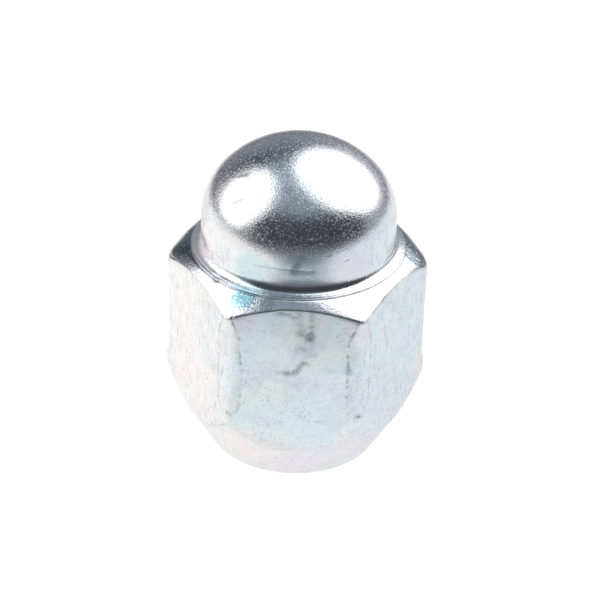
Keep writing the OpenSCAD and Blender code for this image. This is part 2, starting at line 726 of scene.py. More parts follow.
@dataclass(frozen=True)
class Tumbling:
    """The grain that tumbling leaves, which is strongest on the dome."""

    height: float = 0.016
    fine: Pattern = Pattern(7.0, 2.0, 0.6)
    off_dome: float = 0.55
    drawn: Pattern = Pattern(1.0, 3.0, 0.6, stretch=(3.0, 3.0, 0.5))
    drawn_height: float = 0.45
    grains: Pattern = Pattern(7.0, 3.0, 0.7, shift=(4.0, 1.0, 6.0), step=(0.46, 0.66))
    darkness: float = 0.28
    dulled: Pattern = Pattern(7.0, 3.0, 0.7, shift=(9.0, 2.0, 7.0), step=(0.53, 0.63))
    dullness: float = 0.43

    def darkening(self, on: Surface) -> Term:
        """Dark grains on the dome."""
        return on.read(self.grains) * on.dome * self.darkness

    def roughness(self, on: Surface) -> Term:
        """Roughness that dull grains add on the dome."""
        return on.read(self.dulled) * on.dome * self.dullness

    def relief(self, on: Surface) -> Term:
        """Height of the grain, as a share of the greatest."""
        fine = on.read(self.fine) * (on.dome * (1.0 - self.off_dome) + self.off_dome)
        return fine + on.read(self.drawn) * self.drawn_height * (1.0 - on.dome)


@dataclass(frozen=True)
class BrightZinc:
    """Bright zinc plate with a clear film, on a cold-forged and tumbled surface.

    The hole's bound is given as squared radii.
    """

    film: Film = Film()
    scuffing: Scuffing = Scuffing()
    marks: DragMarks = DragMarks()
    specks: Specks = Specks()
    tumbling: Tumbling = Tumbling()
    # The dark tone for drag marks, specks and grains, and for the painted shade in creases, folds, nicks
    # and edge lines.
    soot_and_shade: Colour = (0.30, 0.31, 0.33)
    # How far the painted shade darkens the colour towards that tone.
    painted_shade_share: float = 0.50
    dirt_bump: float = 0.5
    rough_dome: float = 0.13
    rough_wall: float = 0.20
    rough_flats: float = 0.31
    darkening_rough: float = 0.15
    unrest: Pattern = Pattern(0.9, 3.0)
    unrest_rough: float = 0.08
    ring_chalk: float = 0.30
    hole_square: Span = (31.0, 29.5)
    hole_top: Span = (24.6, 24.4)
    dome_height: Span = (20.9, 22.3)
    wall_height: Span = (18.7, 19.2)
    chamfer_top: Span = (18.35, 18.28)
    ring_foot: Span = (18.28, 18.36)
    ring_side: Span = (-5.5, -7.5)

    def make(self, name: Material, worn: bool = True) -> bpy.types.Material:
        """Builds the material.

        Args:
            name: The material's name.
            worn: Whether it has the drag marks of the outside.

        Returns:
            The material.
        """
        material = name.new()
        graph = Graph(material.node_tree)
        on = self._surface(graph)
        marks = self.marks.depth(on) if worn else on.groove * 0.0
        specks = self.specks.depth(on)
        chamfer = on.turned * on.z.rise(*self.chamfer_top)
        colour = self.scuffing.over(self.film.colour(on), on, chamfer)
        # The colour darkens with painted shade from the mesh, and with drag marks, specks and grains.
        darkening = (on.groove * self.painted_shade_share + marks + specks + self.tumbling.darkening(on)).clamp()
        height = self.tumbling.relief(on) - (marks + specks) * self.dirt_bump * (1.0 - on.dome)
        relief = {"Strength": 1.0, "Distance": self.tumbling.height * MM, "Height": height}
        finish = {
            "Base Color": graph.mix(darkening, colour, self.soot_and_shade),
            "Metallic": 1.0,
            "Roughness": self._roughness(on, darkening),
            "Normal": graph.add("ShaderNodeBump", None, relief)[0],
        }
        shader = graph.add("ShaderNodeBsdfPrincipled", None, finish)[0]
        graph.add("ShaderNodeOutputMaterial", None, {"Surface": shader})
        return material

    def _surface(self, graph: Graph) -> Surface:
        """Reads the piece that wears a material.

        Args:
            graph: The material's tree.

        Returns:
            The surface, with the hole's point kept out of the dome.
        """
        place = graph.place()
        x, y, z = graph.split(place)
        hole = (x * x + y * y).rise(*self.hole_square) * z.rise(*self.hole_top)
        dome = z.rise(*self.dome_height) * (1.0 - hole)
        wall = z.rise(*self.wall_height)
        return Surface(
            graph, place, x, y, z, dome, wall, graph.attribute(Mark.TURNED), graph.attribute(Mark.PAINTED_SHADE)
        )

    def _roughness(self, on: Surface, darkening: Term) -> Term:
        """The roughness: least on the dome and the turned collar, and most on the flats.

        Args:
            on: The surface.
            darkening: How dark each place is made, by drag marks, specks, grains and painted shade.

        Returns:
            The roughness, from 0 to 1.
        """
        shiny = on.dome.math("MAXIMUM", on.turned)
        unrest = (on.read(self.unrest) - 0.5) * self.unrest_rough
        rough = self.rough_flats + on.wall * (self.rough_wall - self.rough_flats)
        rough = rough + shiny * (self.rough_dome - rough) + unrest + darkening * self.darkening_rough
        chalk = on.turned * on.z.rise(*self.ring_foot) * on.x.rise(*self.ring_side) * self.ring_chalk
        return (rough + self.tumbling.roughness(on) + chalk).clamp()


# -------------------------------------------------------------------------- the forging


def wander(seed: Draw, place: np.ndarray, step: float, turns: float | None = None) -> np.ndarray:
    """A smooth random curve between 0 and 1.

    Args:
        seed: The curve's seed.
        place: Where it is read.
        step: The distance between its knots.
        turns: The length after which it repeats, if it does.

    Returns:
        Its value at each place.
    """
    count = KNOTS if turns is None else max(3, round(turns / step))
    knots = np.random.default_rng(seed.value).random(count)
    at = place / step if turns is None else place / turns * count
    whole = np.floor(at).astype(int)
    part = at - whole
    blend = part * part * (3 - 2 * part)
    return knots[whole % count] * (1 - blend) + knots[(whole + 1) % count] * blend


def wander_round(seed: Draw, turn: np.ndarray, step: float) -> np.ndarray:
    """A smooth random curve round the nut, which closes after a turn."""
    return wander(seed, turn * ARC_RADIUS, step, FULL_TURN * ARC_RADIUS)


def bell(distance: np.ndarray, width: float) -> np.ndarray:
    """A bell curve of a distance, 1 at nothing."""
    return np.exp(-((distance / width) ** 2))


def ease(value: np.ndarray, low: float, high: float) -> np.ndarray:
    """A smooth step from 0 at one value to 1 at another."""
    part = np.clip((value - low) / (high - low), 0, 1)
    return part * part * (3 - 2 * part)


def off_bearing(turn: np.ndarray, bearing: float) -> np.ndarray:
    """The signed angle, in radians, between a turn in radians and a bearing in degrees."""
    return (turn - math.radians(bearing) + math.pi) % FULL_TURN - math.pi


def toward(corner: Place, other: Place, length: float) -> Place:
    """The place at a length from a corner towards another place.

    Args:
        corner: The corner.
        other: The other place.
        length: How far along it lies.

    Returns:
        The place, for each column.
    """
    run = [np.asarray(b - a, dtype=float) for a, b in zip(corner, other)]
    size = np.hypot(*run)
    return tuple(a + r / size * length for a, r in zip(corner, run))


@dataclass
class Rows:
    """Rows of vertices round the axis, from the drill's point to the top of the dome.

    Each row takes the azimuths that the columns have when it is added.
    """

    columns: np.ndarray
    azimuth: list[np.ndarray] = field(default_factory=list)
    radius: list[np.ndarray] = field(default_factory=list)
    height: list[np.ndarray] = field(default_factory=list)

    def put(self, radius: Any, height: Any) -> None:
        """Adds one row.

        Args:
            radius: The radius, one for all the columns or one for each.
            height: The height, likewise.
        """
        self.azimuth.append(self.columns)
        self.radius.append(radius + 0 * self.columns)
        self.height.append(height + 0 * self.columns)

    def run(self, start: Place, end: Place, shares: Sequence[float]) -> None:
        """Adds rows on the straight line between two places.

        Args:
            start: The first place.
            end: The second place.
            shares: Where the rows lie, as shares of the way.
        """
        for share in shares:
            radius, height = (a + (b - a) * share for a, b in zip(start, end))
            self.put(radius, height)

    def turn(self, start: Place, corner: Place, end: Place, count: int) -> None:
        """Adds rows round a softened corner, from a place on its one side to one on the other.

        Args:
            start: Where the rounding starts.
            corner: The sharp corner.
            end: Where the rounding ends.
            count: The number of rows.
        """
        for share in np.linspace(0, 1, count):
            weights = ((1 - share) ** 2, 2 * share * (1 - share), share**2)
            triples = zip(start, corner, end)
            radius, height = (sum(w * p for w, p in zip(weights, triple)) for triple in triples)
            self.put(radius, height)

    def bend(self, path: Sequence[Place], soft: Span | float, count: int) -> None:
        """Adds rows round a corner that is softened over a length on either side.

        Args:
            path: The place before the corner, the corner and the place after it.
            soft: The length, or one for each side.
            count: The number of rows.
        """
        before, corner, after = path
        first, second = soft if isinstance(soft, tuple) else (soft, soft)
        self.turn(toward(corner, before, first), corner, toward(corner, after, second), count)

    def arc(self, centre: Place, radius: float, angles: np.ndarray) -> None:
        """Adds rows on a circle's arc in the section.

        Args:
            centre: The circle's centre.
            radius: Its radius.
            angles: The rows' angles above the horizontal.
        """
        for angle in np.radians(angles):
            self.put(centre[0] + radius * math.cos(angle), centre[1] + radius * math.sin(angle))


@dataclass(frozen=True)
class RowCounts:
    """How many rows each stretch of the section has."""

    seat: int = 22
    flats: int = 74
    chamfer: int = 18
    cove: int = 14
    wall: int = 5
    fold: int = 13
    shoulder: int = 24
    crown: int = 26


@dataclass(frozen=True)
class Columns:
    """How the columns are spaced over a land, and over a flat from its crease."""

    land: tuple[float, ...] = (0.0, 0.22, 0.42, 0.60, 0.74, 0.84, 0.91, 0.96, 1.0)
    near: tuple[float, ...] = (0.03, 0.06, 0.10, 0.15, 0.22, 0.32, 0.46, 0.64)
    far_first: float = 0.88
    far_count: int = 12

    def shares(self, width: float) -> np.ndarray:
        """The columns from a corner to mid-flat.

        Args:
            width: The flat's width, from the crease to its middle.

        Returns:
            Their shares: 0 at the corner, 1 at the crease and 2 at mid-flat.
        """
        flat = (*self.near, *np.linspace(self.far_first, width, self.far_count))
        return np.array([*self.land, *(1 + v / width for v in flat)])


@dataclass(frozen=True)
class Nick:
    """A small dent, by its azimuth from the front, height, reach along the surface and depth, with painted
    shade round it.
    """

    azimuth: float
    height: float
    reach: float
    depth: float
    shade_amount: float = 0.9
    shade_reach: float = 1.1

    def gap(self, turn: np.ndarray, radius: np.ndarray, height: np.ndarray) -> np.ndarray:
        """How far each vertex lies from the nick."""
        side = off_bearing(turn, self.azimuth - 90)
        return np.hypot(side * radius, height - self.height)


@dataclass(frozen=True)
class Fold:
    """A shallow fold in the cap's wall at the front, which waves up and down, with a line of painted shade
    along it.

    Its reach, to either side of its bearing, is in radians.
    """

    height: float = 20.42
    below: float = 0.26
    above: float = 0.22
    width: float = 0.09
    wave: float = 0.10
    waves: int = 6
    crest_bearing: float = 262.0
    bearing: float = 259.0
    reach: float = 0.30
    shade_amount: float = 0.60
    depth: float = 0.010

    def share(self, turn: np.ndarray, height: np.ndarray) -> np.ndarray:
        """How deep each vertex lies in the fold.

        Args:
            turn: Its azimuth, in radians.
            height: Its height.

        Returns:
            The share of the depth, from 0 to 1.
        """
        wave = self.wave * np.cos(self.waves * (turn - math.radians(self.crest_bearing)))
        across = bell(height - self.height - wave, self.width)
        return across * bell(off_bearing(turn, self.bearing), self.reach)


@dataclass(frozen=True)
class CollarLines:
    """Lines of painted shade at the collar's foot and on its rim, which are strongest on one side.

    The reach of that side, from its bearing, is in radians.
    """

    bearing: float = 215.0
    reach: float = 0.5
    foot_width: float = 0.06
    foot_depth: float = 0.05
    foot_least: float = 0.25
    foot_wander: float = 0.35
    foot_side: float = 0.5
    foot_step: float = 0.7
    rim_width: float = 0.05
    rim_depth: float = 0.02
    rim_least: float = 0.15
    rim_step: float = 0.5
    rim_broken: Span = (0.1, 0.5)

    def shade_and_depth(
        self, turn: np.ndarray, from_foot: np.ndarray, from_rim: np.ndarray
    ) -> tuple[np.ndarray, np.ndarray]:
        """How dark and how deep the lines are.

        Args:
            turn: Each vertex's azimuth, in radians.
            from_foot: Its distance from the collar's foot.
            from_rim: Its distance from the rim.

        Returns:
            The painted shade, from 0, and the depth.
        """
        side = np.clip(bell(off_bearing(turn, self.bearing), self.reach), 0, 1)
        uneven = self.foot_wander * wander_round(Draw.VALLEY, turn, self.foot_step)
        foot = bell(from_foot, self.foot_width) * (self.foot_least + uneven + self.foot_side * side)
        rim = bell(from_rim, self.rim_width) * (self.rim_least + (1 - self.rim_least) * side)
        broken = ease(wander_round(Draw.RIM, turn, self.rim_step), *self.rim_broken)
        return foot + rim * broken, self.foot_depth * foot + self.rim_depth * rim


@dataclass(frozen=True)
class EdgeShade:
    """Painted shade along the upper or lower edge of the flats."""

    seed: Draw
    width: float
    amount: float
    least: float
    step: float
    broken: Span

    def darkening(self, turn: np.ndarray, from_edge: np.ndarray) -> np.ndarray:
        """How dark each vertex is, by its distance from the edge."""
        broken = ease(wander_round(self.seed, turn, self.step), *self.broken)
        return self.amount * bell(from_edge, self.width) * (self.least + (1 - self.least) * broken)


@dataclass(frozen=True)
class Crease:
    """The crease along either side of a corner land, worn and broken along its length, with a line of
    painted shade in it.
    """

    depth: float = 0.036
    width: float = 0.110
    steepest: float = 2.5
    lean_step: float = 0.05
    worn_least: float = 0.35
    worn_step: float = 1.1
    worn_edge: Span = (0.2, 0.6)
    broken_least: float = 0.12
    broken_step: float = 0.20
    broken_edge: Span = (0.25, 0.80)
    on_axis: float = 0.25
    jitter: float = 0.10
    jitter_step: float = 0.35
    foot_fade: Span = (-0.05, 0.30)
    top_fade: Span = (16.6, 17.0)
    corner_apart: float = 60.0
    side_apart: float = 11.0

    def share(self, gap: np.ndarray, place: np.ndarray) -> np.ndarray:
        """How deep each vertex lies in the crease.

        Args:
            gap: Its distance from the crease's line.
            place: Its place along the crease, different on each side of each land.

        Returns:
            The share of the depth, from 0 to 1.
        """
        worn = ease(wander(Draw.WEAR, place, self.worn_step), *self.worn_edge)
        worn = self.worn_least + (1 - self.worn_least) * worn
        broken = ease(wander(Draw.BREAKS, place, self.broken_step), *self.broken_edge)
        broken = (self.broken_least + (1 - self.broken_least) * broken) * worn
        jitter = (wander(Draw.JITTER, place, self.jitter_step) - 0.5) * self.jitter
        return bell(gap + jitter, self.width) * broken


@dataclass
class NutBody:
    """The forging: seat, hexagon with its corner lands, collar, cap and blind hole.

    The bevel and the ring are given inwards and upwards, the cove's height at the back and
    at the front, and the brow's rounding and the chamfer's bow at the two corners on the x
    axis and at the rest.
    """

    across_flats: float = 19.0
    hex_height: float = 18.2
    chamfer_angle: float = 38.0
    seat_end_radius: float = 7.15
    seat_half_angle: float = 30.0
    seat_edge: float = 0.15
    collar_radius: float = 8.85
    collar_step: float = 0.12
    rim_bevel: tuple[float, float] = (0.20, 0.05)
    ring: tuple[float, float] = (0.22, 0.08)
    cove_height: tuple[float, float] = (0.50, 1.15)
    chamfer_bow: tuple[float, float] = (0.20, 0.05)
    chamfer_reach: float = 2.4
    brow_soft: tuple[float, float] = (0.42, 0.10)
    brow_clear: float = 0.04
    brow_spread: float = 1.3
    chamfer_clear: float = 0.03
    chamfer_last: float = 0.95
    cap_radius: float = 8.0
    total_height: float = 27.6
    shoulder_radius: float = 5.7
    crown_radius: float = 8.9
    crown_end: float = 89.2
    shoulder_foot: tuple[float, float] = (20.76, 20.87)
    hole_radius: float = 5.25
    root_radius: float = 6.0
    mouth_radius: float = 6.4
    hole_top: float = 21.0455
    point_height: float = 24.2
    thread_top: float = 18.5
    thread_end: float = 20.0
    drill_soft: float = 0.10
    taper_soft: float = 0.15
    lip_soft: float = 0.05
    mouth_soft: float = 0.06
    seat_soft: float = 0.05
    crest_soft: float = 0.10
    step_foot_soft: tuple[float, float] = (0.04, 0.03)
    step_top_soft: tuple[float, float] = (0.04, 0.05)
    rim_soft: float = 0.04
    land_half: float = 1.2
    land_neck: float = 0.44
    side_neck: float = 0.15
    neck_height: Span = (14.4, 17.2)
    land_bulge: float = 0.05
    land_wander: float = 0.16
    land_step: float = 1.6
    land_apart: tuple[float, float] = (40.0, 9.0)
    edge_half: float = 0.38
    land_foot: float = 7.5
    land_full: float = 9.0
    seat_top_guess: float = 5.5
    brow_guess: float = 17.3
    turned_height: tuple[float, float] = (16.0, 19.3)
    foot_below: float = 7.5
    smooth_radius: float = 6.9
    skin_height: Span = (0.2, 0.8)
    turned_skin: float = 0.2
    cap_skin: Span = (20.9, 21.5)
    nicks: tuple[Nick, ...] = (
        Nick(-47.5, 18.20, 0.20, 0.16),
        Nick(-6.2, 17.50, 0.16, 0.10),
        Nick(45.0, 17.35, 0.16, 0.08),
    )
    fold: Fold = Fold()
    crease: Crease = Crease()
    collar_lines: CollarLines = CollarLines()
    brow_shade: EdgeShade = EdgeShade(Draw.BROW, 0.15, 0.55, 0.4, 0.9, (0.2, 0.7))
    foot_shade: EdgeShade = EdgeShade(Draw.FOOT, 0.07, 0.40, 0.0, 0.5, (0.3, 0.8))
    unevenness: float = 0.016
    wave: float = 1.8
    dent_depth: float = 0.006
    dent_spacing: float = 0.9
    seed: float = 3.7
    counts: RowCounts = RowCounts()
    columns: Columns = Columns()
    finish: BrightZinc = BrightZinc()
    share: np.ndarray = field(init=False, repr=False)
    side: np.ndarray = field(init=False, repr=False)
    corner: np.ndarray = field(init=False, repr=False)

    def __post_init__(self) -> None:
        """Lays the columns: each has its corner, its side of it and its share of land and flat."""
        one_side = self.columns.shares(self.flat_half - self.land_half)[1:]
        side = np.ones(len(one_side))
        shares = np.concatenate([one_side[:-1][::-1], [0.0], one_side])
        self.share = np.tile(shares, SIDES)
        self.side = np.tile(np.concatenate([-side[:-1], [0.0], side]), SIDES)
        self.corner = np.repeat(np.arange(SIDES), len(shares))

    def build(self) -> bpy.types.Object:
        """Builds the forging's mesh, roughens it and gives it its finish.

        Returns:
            The finished piece, in metres at the origin.
        """
        points, marks = self._relief(self._rows())
        values = {
            "Unevenness": self.unevenness * MM,
            "Wave": self.wave * MM,
            "Dent depth": self.dent_depth * MM,
            "Dent spacing": self.dent_spacing * MM,
            "Seed": self.seed,
            "Finish": self.finish.make(Material.ZINC),
        }
        return grow("nut_body", self._mesh(points, marks), self._skin(), values)

    @staticmethod
    def _skin() -> bpy.types.NodeTree:
        """Builds the tree that makes the forged skin uneven and dents the cap lightly.

        Returns:
            The tree.
        """
        tree = bpy.data.node_groups.new("forged_skin", "GeometryNodeTree")
        graph = Graph(tree)
        given = graph.declare(("Unevenness", "Wave", "Dent depth", "Dent spacing", "Seed"))
        place = graph.add("GeometryNodeInputPosition")[0]
        normal = graph.add("GeometryNodeInputNormal")[0]
        skin, cap = (
            graph.add("GeometryNodeInputNamedAttribute", {"data_type": "FLOAT"}, {"Name": mark.value})[0]
            for mark in (Mark.SKIN, Mark.CAP)
        )
        seeded = {"Vector": place, "W": given["Seed"]}
        rolling = {**seeded, "Detail": 2.0, "Scale": 1.0 / given["Wave"]}
        wave = graph.add("ShaderNodeTexNoise", {"noise_dimensions": "4D"}, rolling)[0] - 0.5
        pecked = {**seeded, "Scale": 1.0 / given["Dent spacing"]}
        peck = graph.add("ShaderNodeTexVoronoi", {"voronoi_dimensions": "4D"}, pecked)[0]
        dent = peck.rise(*DENT_EDGE)
        lift = wave * given["Unevenness"] * skin - dent * given["Dent depth"] * cap
        shift = graph.add("ShaderNodeVectorMath", {"operation": "SCALE"}, {0: normal, "Scale": lift})[0]
        moved = {"Geometry": given["Geometry"], "Offset": shift}
        graph.close(graph.add("GeometryNodeSetPosition", None, moved)[0], given["Finish"])
        return tree

    # ---- the hexagon

    @property
    def flat_half(self) -> float:
        """Half the width of a flat, from its middle to the sharp corner."""
        return self.across_flats / 2 * math.tan(HALF_SECTOR)

    @property
    def on_axis(self) -> np.ndarray:
        """Which columns belong to the two corners on the x axis."""
        return self.corner % (SIDES // 2) == 0

    @property
    def rim(self) -> Place:
        """The collar's rim."""
        height = self.hex_height + self.collar_step + self.rim_bevel[1]
        return self.collar_radius - self.rim_bevel[0], height

    @property
    def ring_top(self) -> Place:
        """Inner edge of the sloping ring, where the cove starts."""
        return self.rim[0] - self.ring[0], self.rim[1] + self.ring[1]

    def _land_half(self, height: np.ndarray) -> np.ndarray:
        """Half width of the land along the flat, from the sharp corner.

        Args:
            height: Each column's height.

        Returns:
            The half width of each.
        """
        part = np.clip((self.land_full - height) / (self.land_full - self.land_foot), 0, 1)
        foot = np.sqrt(1 - part**2)
        half = self.edge_half + (self.land_half - self.edge_half) * foot
        neck = ease(height, *self.neck_height) * np.where(self.on_axis, self.side_neck, 1.0)
        corner_apart, side_apart = self.land_apart
        place = height + corner_apart * self.corner + side_apart * self.side
        uneven = (wander(Draw.LAND, place, self.land_step) - 0.5) * self.land_wander * foot
        return half + (self.land_neck - half) * neck + uneven * (1 - neck)

    def _along(self, half: np.ndarray) -> np.ndarray:
        """Distance of each column from the sharp corner, along the flat."""
        on_flat = half + (self.share - 1) * (self.flat_half - half)
        return np.where(self.share <= 1, self.share * half, on_flat)

    def _hexagon(self, height: np.ndarray) -> tuple[np.ndarray, np.ndarray]:
        """The hexagon with its crowned lands.

        Args:
            height: Each column's height.

        Returns:
            The azimuth in radians and the radius of each column there.
        """
        sharp = self.across_flats / 2 / math.cos(HALF_SECTOR)
        half = self._land_half(height)
        along = self._along(half)
        crease_out = sharp - half * math.sin(HALF_SECTOR)
        crease_across = half * math.cos(HALF_SECTOR)
        swell = self.land_bulge * (half - self.edge_half) / (self.land_half - self.edge_half)
        tip = sharp - math.tan(HALF_SECTOR / 2) * half + swell
        rise = tip - crease_out
        bow = (crease_across**2 + rise**2) / (2 * rise)
        across_land = np.minimum(self.share, 1) * crease_across
        out_land = tip - bow + np.sqrt(np.maximum(bow**2 - across_land**2, 0))
        on_land = self.share <= 1
        out = np.where(on_land, out_land, sharp - along * math.sin(HALF_SECTOR))
        across = np.where(on_land, across_land, along * math.cos(HALF_SECTOR))
        azimuth = np.radians(SECTOR * self.corner) + self.side * np.arctan2(across, out)
        return azimuth, np.hypot(out, across)

    def _meet(self, start: float, cone: Place, slope: float) -> np.ndarray:
        """Finds where the hexagon meets a cone.

        Args:
            start: A first guess of the height.
            cone: A place on the cone.
            slope: The height that the cone gains for each unit of radius.

        Returns:
            The height for each column.
        """
        level = np.full(len(self.share), start)
        for _ in range(MEETING_STEPS):
            goal = cone[1] + (self._hexagon(level)[1] - cone[0]) * slope
            level = level + (goal - level) * 0.5
        return level

    # ---- rows

    def _rows(self) -> Rows:
        """Lays the rows of the whole section.

        Returns:
            The rows.
        """
        seat_slope = 1 / math.tan(math.radians(self.seat_half_angle))
        foot = self._meet(self.seat_top_guess, (self.seat_end_radius, 0.0), seat_slope)
        drop = -math.tan(math.radians(self.chamfer_angle))
        brow = self._meet(self.brow_guess, (self.collar_radius, self.hex_height), drop)
        low, foot_radius = self._hexagon(foot)
        high, brow_radius = self._hexagon(brow)
        rows = Rows(low)
        self._inside(rows)
        self._seat(rows, (foot_radius, foot))
        self._flats(rows, foot, brow)
        rows.columns = high
        self._collar(rows, (brow_radius, brow))
        self._cap(rows)
        return rows

    def _inside(self, rows: Rows) -> None:
        """Lays the rows of the drilled hole, the thread's bore and the countersunk mouth.

        Args:
            rows: The rows so far.
        """
        point = (0.0, self.point_height)
        wall = (self.hole_radius, self.hole_top)
        end = (self.hole_radius, self.thread_end)
        top = (self.root_radius, self.thread_top)
        bore = (self.root_radius, self.thread_top - 2 * self.taper_soft)
        lip = (self.root_radius, self.mouth_radius - self.root_radius)
        mouth = (self.mouth_radius, 0.0)
        inner = (self.seat_end_radius - self.seat_edge, 0.0)
        rows.run(point, wall, (0.03, 0.15, 0.4, 0.7, 0.97))
        rows.bend((point, wall, end), self.drill_soft, 4)
        rows.bend((wall, end, top), self.taper_soft, 4)
        rows.bend((end, top, lip), self.taper_soft, 4)
        rows.run(bore, lip, (0, 0.25, 0.5, 0.75, 0.97))
        rows.bend((bore, lip, mouth), self.lip_soft, 4)
        rows.bend((lip, mouth, inner), self.mouth_soft, 5)
        rows.run(mouth, inner, (0.3, 0.5, 0.7))

    def _seat(self, rows: Rows, crest: Place) -> None:
        """Lays the rows of the seat's broken edge and its cone, up to the flats.

        Args:
            rows: The rows so far.
            crest: The seat's upper edge, for each column.
        """
        mouth = (self.mouth_radius, 0.0)
        inner = (self.seat_end_radius - self.seat_edge, 0.0)
        outer_radius = self.seat_end_radius + self.seat_edge * math.tan(math.radians(self.seat_half_angle))
        outer = (outer_radius, self.seat_edge)
        rows.bend((mouth, inner, outer), self.seat_soft, 4)
        rows.bend((inner, outer, crest), self.seat_soft, 4)
        rows.run(outer, crest, np.linspace(0.05, 0.95, self.counts.seat))
        level = crest[1] + self.crest_soft
        above = (self._hexagon(level)[1], level)
        rows.turn(toward(crest, outer, self.crest_soft), crest, above, 6)

    def _flats(self, rows: Rows, foot: np.ndarray, brow: np.ndarray) -> None:
        """Lays the rows of the six flats and their corner lands.

        Args:
            rows: The rows so far.
            foot: The height of each column's end on the seat.
            brow: The height of its end on the chamfer.
        """
        low = foot + self.crest_soft
        high = brow - self._brow_soft() - self.brow_clear
        for share in np.linspace(0.0, 1.0, self.counts.flats)[1:]:
            level = low + (high - low) * share
            rows.columns, radius = self._hexagon(level)
            rows.put(radius, level)

    def _collar(self, rows: Rows, brow: Place) -> None:
        """Lays the rows of the chamfer, the collar's step and rim, and the sloping ring.

        Args:
            rows: The rows so far.
            brow: The chamfer's lower edge, for each column.
        """
        foot = (self.collar_radius, self.hex_height)
        top = (self.collar_radius, self.hex_height + self.collar_step)
        soft = self._brow_soft()
        below = (self._hexagon(brow[1] - soft)[1], brow[1] - soft)
        rows.turn(below, brow, toward(brow, foot, soft), 9)
        self._chamfer(rows, brow, foot)
        rows.bend((brow, foot, top), self.step_foot_soft, 4)
        rows.bend((foot, top, self.rim), self.step_top_soft, 5)
        rows.run(top, self.rim, (0.4, 0.6))
        rows.bend((top, self.rim, self.ring_top), self.rim_soft, 5)
        rows.run(self.rim, self.ring_top, (0.25, 0.5, 0.75))

    def _brow_soft(self) -> np.ndarray:
        """Length of the rounding at the brow, which is longer at the corners on the x axis."""
        side, rest = self.brow_soft
        return rest + (side - rest) * np.clip(self.brow_spread - self.share, 0, 1) * self.on_axis

    def _chamfer(self, rows: Rows, brow: Place, foot: Place) -> None:
        """Lays the rows of the chamfer, which bows out most at the two corners on the x axis.

        Args:
            rows: The rows so far.
            brow: The chamfer's lower edge, for each column.
            foot: Its upper edge, at the collar's foot.
        """
        run, lift = foot[0] - brow[0], foot[1] - brow[1]
        length = np.hypot(run, lift)
        side_bow, front_bow = self.chamfer_bow
        bow = np.where(self.on_axis, side_bow, front_bow) * (length / self.chamfer_reach) ** 2
        first = np.minimum((self._brow_soft() + self.chamfer_clear) / length, 0.5)
        for step in np.linspace(0.0, 1.0, self.counts.chamfer):
            share = first + (self.chamfer_last - first) * step
            out = 4 * share * (1 - share) * bow
            radius = brow[0] + run * share + lift / length * out
            rows.put(radius, brow[1] + lift * share - run / length * out)

    def _cap(self, rows: Rows) -> None:
        """Lays the rows of the cove, the cap's wall, the shoulder and the crown.

        Args:
            rows: The rows so far.
        """
        counts = self.counts
        start = self.ring_top
        across = start[0] - self.cap_radius
        low, high = self.cove_height
        tall = low + (high - low) * np.clip(-np.sin(rows.columns), 0, 1) ** 2
        slope = self.ring[1] / self.ring[0]
        first = math.pi / 2 - np.arctan2(slope * across, tall)
        for turn in np.linspace(first, 0, counts.cove):
            out = (1 - np.cos(turn)) / (1 - np.cos(first)) * across
            lift = (1 - np.sin(turn) / np.sin(first)) * tall
            rows.put(self.cap_radius + out, start[1] + lift)
        fold = self.fold
        folded = np.linspace(fold.height - fold.below, fold.height + fold.above, counts.fold)
        wall = np.linspace(start[1] + tall, folded[0], counts.wall)[1:-1]
        for level in (*wall, *folded, *self.shoulder_foot):
            rows.put(self.cap_radius, level)
        shoulder_x = self.cap_radius - self.shoulder_radius
        crown_z = self.total_height - self.crown_radius
        shoulder_z = crown_z + math.sqrt((self.crown_radius - self.shoulder_radius) ** 2 - shoulder_x**2)
        joint = math.degrees(math.atan2(shoulder_z - crown_z, shoulder_x))
        shoulder = np.linspace(0, joint, counts.shoulder)[:-1]
        rows.arc((shoulder_x, shoulder_z), self.shoulder_radius, shoulder)
        crown = np.linspace(joint, self.crown_end, counts.crown)
        rows.arc((0.0, crown_z), self.crown_radius, crown)

    # ---- relief

    def _relief(self, rows: Rows) -> tuple[np.ndarray, np.ndarray]:
        """Moves the vertices by the forging's folds, nicks and creases.

        Args:
            rows: The clean rows.

        Returns:
            The places of the vertices in millimetres, and for each vertex how much painted shade
            it carries in creases, folds, nicks and edge lines, whether it is on the turned
            surfaces round the collar, how uneven its skin may be and whether it is on the cap.
        """
        azimuth, radius, height = (np.array(a) for a in (rows.azimuth, rows.radius, rows.height))
        points = np.stack([radius * np.cos(azimuth), radius * np.sin(azimuth), height], axis=-1)
        turn = azimuth % FULL_TURN
        outside = (np.arange(len(height)) > self._last_inside(height))[:, None]
        groove, depth = self._cuts(turn, radius, height)
        depth = np.where(outside & (radius > self.smooth_radius), depth, 0.0)
        points = points - self._normals(points) * depth[..., None]
        hexagonal = np.abs(radius - self._hexagon(height)[1]) < ON_SHAPE
        low, high = self.turned_height
        turned = outside & (height > low) & (height < high) & ~hexagonal
        lowest, highest = self._flat_rows(hexagonal)
        # Painted shade along the flats' upper edge under the chamfer and their lower edge above the seat.
        brow = self.brow_shade.darkening(turn, height - height[highest])
        foot = self.foot_shade.darkening(turn, height - height[lowest])
        groove = groove + brow * (hexagonal & (height > low)) + foot * (height < self.foot_below)
        cap = ease(height, *self.cap_skin) * outside
        skin = outside * ease(height, *self.skin_height) * (1 - (1 - self.turned_skin) * turned)
        return points, np.stack([np.where(outside, np.clip(groove, 0, 1), 0), turned, skin, cap])

